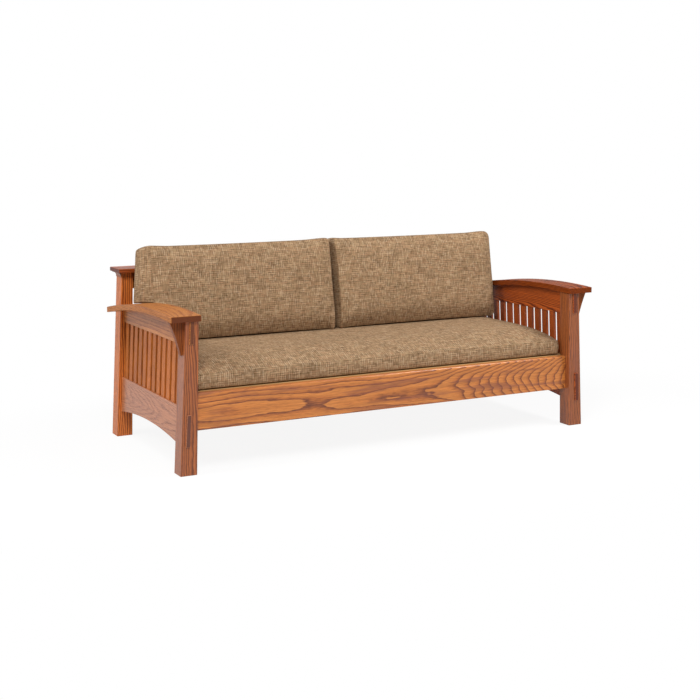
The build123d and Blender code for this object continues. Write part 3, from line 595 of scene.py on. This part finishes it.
# %% The whole cover
def cushion_grid(width, height, corners, top_level, low_level, pulls):
    """Vertices, quads and cloth map of a boxed cushion lying flat: panels in XY, band along Z.

    top_level and low_level give each panel's height from a and b, the places across and along it
    from -1 to 1. corners and pulls hold a value for the left end and one for the right: the radius
    of its corners, and how far it draws in half way between them. Front and back draw in by the mean.
    """
    flat_x, flat_y = np.meshgrid(rows(width), rows(height))
    a, b = 2 * flat_x / width, 2 * flat_y / height
    pull = np.where(a > 0, pulls[1], pulls[0])
    x = flat_x * (1 - 2 * pull / width * (1 - b ** 2) * np.abs(a) ** 3)
    y = flat_y * (1 - sum(pulls) / height * (1 - a ** 2) * np.abs(b) ** 3)
    x, y = round_corners(x, y, width, height, np.where(a > 0, corners[1], corners[0]))
    top_points = np.stack([x, y, top_level(a, b)], -1).reshape(-1, 3)
    low_points = np.stack([x, y, low_level(a, b)], -1).reshape(-1, 3)

    # Points are numbered: top panel, band rings, low panel. The ring is the seam, all round
    number = np.arange(x.size).reshape(x.shape)
    ring = np.concatenate([number[0, :-1], number[:-1, -1], number[-1, :0:-1], number[:0:-1, 0]])
    upper = top_points[ring]
    band, depths = band_between(upper, low_points[ring])
    points = np.concatenate([top_points, band.reshape(-1, 3), low_points])
    first_low = x.size + band.shape[0] * len(ring)
    band_rings = [x.size + k * len(ring) + np.arange(len(ring)) for k in range(len(band))]
    rings = [ring, *band_rings, ring + first_low]

    # The two panels: the low one faces the other way
    cells = cell_corners(number)
    cell_map = np.stack([cell_corners(flat_x), cell_corners(flat_y)], -1)
    quads = [cells, (cells + first_low)[:, ::-1]]
    maps = [cell_map, cell_map[:, ::-1]]

    # The band's cloth runs on along the seam, and down from the panel's edge
    steps = np.linalg.norm(np.roll(upper, -1, 0)[:, :2] - upper[:, :2], axis=1)
    distance = np.concatenate([[0], np.cumsum(steps)]) - width / 2
    u0, u1 = distance[:-1], distance[1:]
    for here, below, start, end in zip(rings, rings[1:], depths, depths[1:]):
        quads.append(np.stack([here, below, np.roll(below, -1), np.roll(here, -1)], -1))
        v0, v1 = np.full_like(u0, -height / 2 - start), np.full_like(u0, -height / 2 - end)
        maps.append(np.stack([np.stack([u0, u0, u1, u1], -1), np.stack([v0, v1, v1, v0], -1)], -1))
    return points, np.concatenate(quads), np.concatenate(maps)


# %% From arrays to a mesh
def mesh_from(name, points, quads, cloth_map):
    """A mesh object from arrays, with the cloth map stored for each face corner."""
    mesh = bpy.data.meshes.new(name)
    mesh.from_pydata(points.tolist(), [], quads.tolist())
    mesh.uv_layers.new(name="cloth")
    mesh.uv_layers["cloth"].data.foreach_set("uv", cloth_map.reshape(-1))
    mesh.polygons.foreach_set("use_smooth", [True] * len(mesh.polygons))
    piece = bpy.data.objects.new(name, mesh)
    bpy.context.scene.collection.objects.link(piece)
    return piece


# %% [markdown]
# ## Stuffing a cushion
#
# The grid is a cover just before it is filled. A cloth simulation with a little pressure inside
# blows it up, so the panels tighten, and the cloth wrinkles where the seam holds it back. Each
# point may move only a few millimetres, which keeps the cushion in its place in the settle.

# %% Stuff it with a cloth simulation
pressure = 4.0
fabric_stiffness = 25
settle_frames = 20


def stuff(piece, limit):
    """Blows the cover up by pressure, caps each point's travel, and returns the moved points."""
    mesh = piece.data
    start = np.empty(len(mesh.vertices) * 3)
    mesh.vertices.foreach_get("co", start)
    start = start.reshape(-1, 3)
    cloth = piece.modifiers.new("stuffing", "CLOTH")
    cloth.settings.use_pressure = True
    cloth.settings.uniform_pressure_force = pressure
    cloth.settings.effector_weights.gravity = 0.0
    cloth.settings.quality = 5
    cloth.settings.mass = 0.4
    cloth.settings.tension_stiffness = fabric_stiffness
    cloth.settings.compression_stiffness = fabric_stiffness
    cloth.settings.bending_stiffness = 1.5
    cloth.settings.shrink_min = -0.012
    cloth.point_cache.frame_start = 1
    cloth.point_cache.frame_end = settle_frames
    scene = bpy.context.scene
    for step in range(1, settle_frames + 1):
        scene.frame_set(step)
    blown = piece.evaluated_get(bpy.context.evaluated_depsgraph_get()).data
    result = np.empty(len(mesh.vertices) * 3)
    blown.vertices.foreach_get("co", result)
    piece.modifiers.remove(cloth)
    scene.frame_set(1)
    travel = result.reshape(-1, 3) - start
    reach = np.linalg.norm(travel, axis=1, keepdims=True)
    travel *= np.minimum(1, limit / np.maximum(reach, 1e-9))
    print(piece.name, "moved up to", round(float(reach.max()) / mm, 1), "mm, kept to", limit / mm)
    return start + travel


def upholster(piece, points, body, node):
    piece.data.vertices.foreach_set("co", points.reshape(-1))
    piece.data.update()
    smooth = piece.modifiers.new("smooth", "SUBSURF")
    smooth.levels = smooth.render_levels = 1
    piece.data.materials.append(tweed_cloth)
    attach(piece, body)
    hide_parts(node)
    print(piece.name, "has", len(piece.data.polygons), "faces before it is smoothed")


# %% [markdown]
# ## The seat cushion
#
# One long bench cushion fills the space between the posts. It is highest along its middle, drops
# quickly at its two ends and more slowly towards the front, where its edge is low and soft. It
# lies flat on the deck. Behind, under the back cushions, it stays level.

# %% Sizes of the seat cushion
seat_low, seat_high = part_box("seat_cushion")
seat_width = seat_high.x - seat_low.x
seat_depth = seat_high.y - seat_low.y
seat_tall = seat_high.z - seat_low.z
corner_tall = 66 * mm
front_tall = 76 * mm
side_talls = (92 * mm, 102 * mm)      # left and right end
crown_tall = seat_tall - 1.5 * mm
under_lift = 6 * mm                   # the underside's edge is turned up
seat_corner = 12 * mm
seat_pull = 3 * mm
seat_travel = 5 * mm                  # the most that a point may move in the simulation
seat_reach = seat_high.x + 3 * mm     # pressed against the posts, and still clear of them
slope_power = 3.6                     # the higher a power, the closer to the edge the drop begins
rear_power = 12.0
end_power = 20
under_powers = (60, 24)               # across and along
print("seat", round(seat_width / mm), "by", round(seat_depth / mm), "by", round(seat_tall / mm), "mm")


# %% The seat's crown
def seat_top(a, b):
    """Height of the top panel: the end profile and the middle profile, blended close to the ends.

    Each profile falls from its crown to its edge by a power of the distance from the middle.
    """
    side_tall = np.where(a < 0, *side_talls)
    end_profile = corner_tall + (side_tall - corner_tall) * (1 - np.abs(b) ** slope_power)
    middle_rise = 1 - np.abs(b) ** np.where(b > 0, rear_power, slope_power)
    middle_profile = front_tall + (crown_tall - front_tall) * middle_rise
    inside = 1 - np.abs(a) ** end_power
    return end_profile + (middle_profile - end_profile) * inside


def seat_under(a, b):
    """The underside lies flat, with its edge turned up a little."""
    return under_lift * np.maximum(np.abs(a) ** under_powers[0], np.abs(b) ** under_powers[1])


# %% Make the seat cushion
points, quads, cloth_map = cushion_grid(
    seat_width - band_bulge, seat_depth - 2 * band_bulge, (seat_corner, seat_corner),
    seat_top, seat_under, (seat_pull, seat_pull))
points += [(seat_low.x + seat_high.x) / 2, (seat_low.y + seat_high.y) / 2, seat_low.z]
seat_piece = mesh_from("bench_seat_cushion", points, quads, cloth_map)
points = stuff(seat_piece, seat_travel)
points[:, 2] = np.clip(points[:, 2], seat_low.z, seat_high.z)
points[:, 0] = np.clip(points[:, 0], -seat_reach, seat_reach)
upholster(seat_piece, points, "seat_cushion", "seat_cushion")

# %% [markdown]
# ## The back cushions
#
# Two plump cushions lean on the cap. They are made lying flat and then stood up: their height goes
# up the lean, their thickness points forwards. The lower edge isn't square to the lean: it is bent
# level, because there the cushion sags flat onto the seat. The outer ends are soft too. They bulge
# over the arms, and the left one hangs furthest, down onto its arm.

# %% Sizes of the back cushions
cushion_low, cushion_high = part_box("back_cushion_right")
cushion_width = cushion_high.x - cushion_low.x
cushion_height = 470 * mm
cushion_thickness = 183 * mm
cushion_squash = 36.7 * mm    # unbent, the lower rear corner would reach so far into the seat
panel_inset = 2 * mm          # room for the stuffing to lift a panel
face_crown = 26 * mm
rear_crown = 17 * mm
inner_corner = 12 * mm
outer_corners = {-1: 12 * mm, 1: 36 * mm}      # the right one is worn rounder
inner_pull = 4 * mm           # the two cushions touch at top and bottom, and part half way up
cushion_travel = 6 * mm       # the most that a point may move in the simulation
bend_gap = 0.4 * mm           # above the solid's underside, when the lower end is bent
rest_gap = 0.2 * mm           # and when it rests on the seat
sag = 9 * mm                  # the weight presses the underside flat on the seat
sag_zone = 60 * mm
back_cushion_size = (cushion_width, cushion_height, cushion_thickness)
print("each back cushion", [round(size / mm) for size in back_cushion_size], "mm")

# %% Where the back cushions lean
lean_axis = next(joint["axis"] for joint in frame["joints"] if joint["name"] == "back_cushion_right_lift")
lean = math.atan2(lean_axis[1], lean_axis[2])
cap_gap = 0.3 * mm
low_corner = seat_high.z - cushion_squash
drop_to_middle = (cap_high.z - low_corner) / math.cos(lean) - cushion_height / 2
middle_y = cap_low.y - cap_gap - drop_to_middle * math.sin(lean)
middle_z = cap_high.z - drop_to_middle * math.cos(lean)
print("lean", round(math.degrees(lean), 1), "degrees, middle at", round(middle_y, 3), round(middle_z, 3))

# %% How far an outer end swells over its arm
end_swell = 30 * mm
low_swells = {-1: 50 * mm, 1: 0.0}             # the left one swells by this much more low down
end_zone = 70 * mm
lift_zone = 50 * mm
arm_beside = 0.6732           # height of the arm's top beside the cushion's face
arm_fall = 0.118              # it falls by this times the distance behind that, in metres,
arm_bend = 0.14               # and by this times the square of that distance
arm_gap = 2.5 * mm
lift_from = 36 * mm           # so far below the arm's top the cloth is lifted onto it
print("the left end swells by up to", round((end_swell + low_swells[-1]) / mm), "mm")


# %% The panels' crowns
def drop(a, b, crown, side):
    """How far a panel lies under its crown: a power of the distance from the panel's middle.

    Across it is the 18th power and along it the 5th. It is least at the inner side and most at the
    bottom.
    """
    sides = np.abs(a) ** 18 * np.where(a * side < 0, 0.25, 1.0)
    ends = np.abs(b) ** 5 * np.where(b > 0, 1.0, 1.35)
    return crown * (sides + ends - sides * ends)


# %% The sagging underside and the swollen end
def rest_on_seat(points):
    """Presses the underside flat on the seat: by the whole sag at the bottom, by none above the zone."""
    seat_top_z = cushion_low.z + rest_gap
    raised = np.clip((points[:, 2] - seat_top_z) / sag_zone, 0, 1)
    points[:, 2] = np.maximum(points[:, 2] - sag * (1 - raised) ** 2, seat_top_z)


def swell(points, side):
    """Lays the outer end over the arm: cloth just below the arm's top is lifted onto it and pushed out.

    The push is the swell times four shares from 0 to 1: the square of how near the end the point
    lies, a smooth step just below the arm's top, one less the cube of how far forward it lies, and
    one less the 40th power of how far up it lies.
    """
    x, y, z = points.T
    up = (y - middle_y) * math.sin(lean) + (z - middle_z) * math.cos(lean)
    forward = (z - middle_z) * math.sin(lean) - (y - middle_y) * math.cos(lean)
    past = side * x - cushion_high.x + end_zone
    near_end = np.clip(past / end_zone, 0, 1) ** 2
    behind = y - cushion_low.y
    arm_top = arm_beside - arm_fall * behind - arm_bend * behind ** 2 + arm_gap
    above = z - arm_top
    over = np.clip((above + lift_from * 2 / 3) / (lift_from / 2), 0, 1)
    over = over * over * (3 - 2 * over)
    lift = np.where((above > -lift_from) & (above < 0), -above, 0.0)
    z = z + lift * np.clip(past / lift_zone, 0, 1)
    through = 1 - np.clip(forward / (cushion_thickness - face_crown), 0, 1) ** 3
    below_top = 1 - np.clip(2 * up / cushion_height, 0, 1) ** 40
    low_share = np.clip((cushion_high.z - z) / (cushion_high.z - arm_top), 0, 1)
    push = (end_swell + low_swells[side] * low_share) * over * near_end * through * below_top
    return np.stack([x + side * push, y, z], -1)


# %% Make the back cushions
def make_back_cushion(name, side, body):
    """A cover for the body and node of one name. The side is -1 for the left and 1 for the right."""
    # Inner end first, as it is on the right. The step of -1 below turns the pair round for the left
    corners = (inner_corner, outer_corners[side])
    pulls = (inner_pull, 0.0)
    points, quads, cloth_map = cushion_grid(
        cushion_width - 2 * band_bulge, cushion_height - 2 * band_bulge, corners[::side],
        lambda a, b: cushion_thickness - panel_inset - drop(a, b, face_crown, side),
        lambda a, b: panel_inset + drop(a, b, rear_crown, side), pulls[::side])

    # Bend the lower end level, by a share that grows as the square of the way down, and stand it up
    up, forward = points[:, 1], points[:, 2]
    level_low = (cushion_low.z + bend_gap - middle_z - forward * math.sin(lean)) / math.cos(lean)
    share = np.clip((cushion_height / 2 - up) / cushion_height, 0, 1)
    up = up + (level_low + cushion_height / 2) * share ** 2
    x = points[:, 0] + side * (cushion_low.x + cushion_high.x) / 2
    y = middle_y + up * math.sin(lean) - forward * math.cos(lean)
    z = middle_z + up * math.cos(lean) + forward * math.sin(lean)
    piece = mesh_from(name, np.stack([x, y, z], -1), quads, cloth_map)
    points = stuff(piece, cushion_travel)
    rest_on_seat(points)
    upholster(piece, swell(points, side), body, body)


make_back_cushion("back_cushion_cover_right", 1, "back_cushion_right")
make_back_cushion("back_cushion_cover_left", -1, "back_cushion_left")

# %% [markdown]
# ## Studio
#
# The settle stands in a white studio. The wide floor shows as white, with only a soft shadow under
# the settle, so near the settle a part of what the eye sees is the lit paint, and further off all
# of it is plain white, which leaves no horizon. The main light is a soft box high in front on the
# left. A second one stands beyond the left-hand end and lights the side frame, and a small third
# one above the right-hand end brightens the apron's rounded edge. The rest comes from everywhere.

# %% The white floor
plain_near = 0.90            # share of plain white beside the settle
shadow_reach = (1.5, 0.9)    # half axes of an ellipse round the settle
plain_rise = (0.9, 1.8)      # the plain share rises between these multiples of that ellipse
all_rays = ("Is Camera Ray", "Is Glossy Ray", "Is Transmission Ray")


def seen_or_mirrored(tree):
    """1 for rays from the camera, and for rays that a glossy or clear surface sends on."""
    rays = [add(tree, "ShaderNodeLightPath", out=kind) for kind in all_rays]
    either = add(tree, "ShaderNodeMath", rays[:2], operation="MAXIMUM")
    return add(tree, "ShaderNodeMath", [either, rays[2]], operation="MAXIMUM")


def white_floor():
    """Painted white. The camera and reflections see it mostly as plain white, the rest keeps the shadow."""
    material, tree = new_material("white_floor_paint")
    point = add(tree, "ShaderNodeTexCoord", out="Object")
    ellipse = add(tree, "ShaderNodeVectorMath", [point, (*shadow_reach, 1.0)], operation="DIVIDE")
    distance = add(tree, "ShaderNodeVectorMath", [ellipse], out="Value", operation="LENGTH")
    share = [distance, *plain_rise, plain_near, 1.0]
    share = add(tree, "ShaderNodeMapRange", share, interpolation_type="SMOOTHSTEP")
    share = add(tree, "ShaderNodeMath", [share, seen_or_mirrored(tree)], operation="MULTIPLY")
    paint = add(tree, "ShaderNodeBsdfDiffuse", {"Color": linear("#f4f4f4")})
    plain = add(tree, "ShaderNodeEmission", {"Color": linear("#ffffff"), "Strength": 1.0})
    surface = add(tree, "ShaderNodeMixShader", [share, paint, plain])
    add(tree, "ShaderNodeOutputMaterial", [surface])
    return material


floor_half = 40.0
floor_mesh = bpy.data.meshes.new("studio_floor")
floor_corners = [(-floor_half, -floor_half, 0), (floor_half, -floor_half, 0),
                 (floor_half, floor_half, 0), (-floor_half, floor_half, 0)]
floor_mesh.from_pydata(floor_corners, [], [(0, 1, 2, 3)])
floor = bpy.data.objects.new("studio_floor", floor_mesh)
floor.data.materials.append(white_floor())
bpy.context.scene.collection.objects.link(floor)
print("floor", 2 * floor_half, "m square")

# %% Light from everywhere
air_light = 0.25
world = bpy.data.worlds.new("white_studio")
world.use_nodes = True
world_tree = world.node_tree
world_tree.nodes.clear()
strength = add(world_tree, "ShaderNodeMapRange", [seen_or_mirrored(world_tree), 0.0, 1.0, air_light, 1.0])
background = add(world_tree, "ShaderNodeBackground", {"Color": linear("#ffffff"), "Strength": strength})
add(world_tree, "ShaderNodeOutputWorld", [background])
bpy.context.scene.world = world
print("light from everywhere", air_light)


# %% Three soft boxes
def soft_box(name, place, aim, size, power):
    """A square lamp of that size in metres and power in watts, at place, that faces the point aim."""
    lamp = bpy.data.lights.new(name, "AREA")
    lamp.energy = power
    lamp.size = size
    holder = bpy.data.objects.new(name, lamp)
    holder.location = place
    across, back, up = np.array(aim) - np.array(place)
    tilt = math.atan2(math.hypot(across, back), -up)
    holder.rotation_euler = (tilt, 0, math.atan2(back, across) - math.pi / 2)
    bpy.context.scene.collection.objects.link(holder)
    print(name, power, "W at", place)


soft_box("soft_box_front", (-2.2, -3.2, 4.0), (0.0, 0.0, 0.4), 1.5, 156)
soft_box("soft_box_left", (-4.8, -0.1, 4.0), (-0.6, 0.0, 0.4), 1.6, 145)
soft_box("soft_box_right", (1.9, -1.4, 2.7), (0.6, -0.3, 0.4), 0.9, 60)

bpy.context.scene.view_settings.view_transform = "Standard"
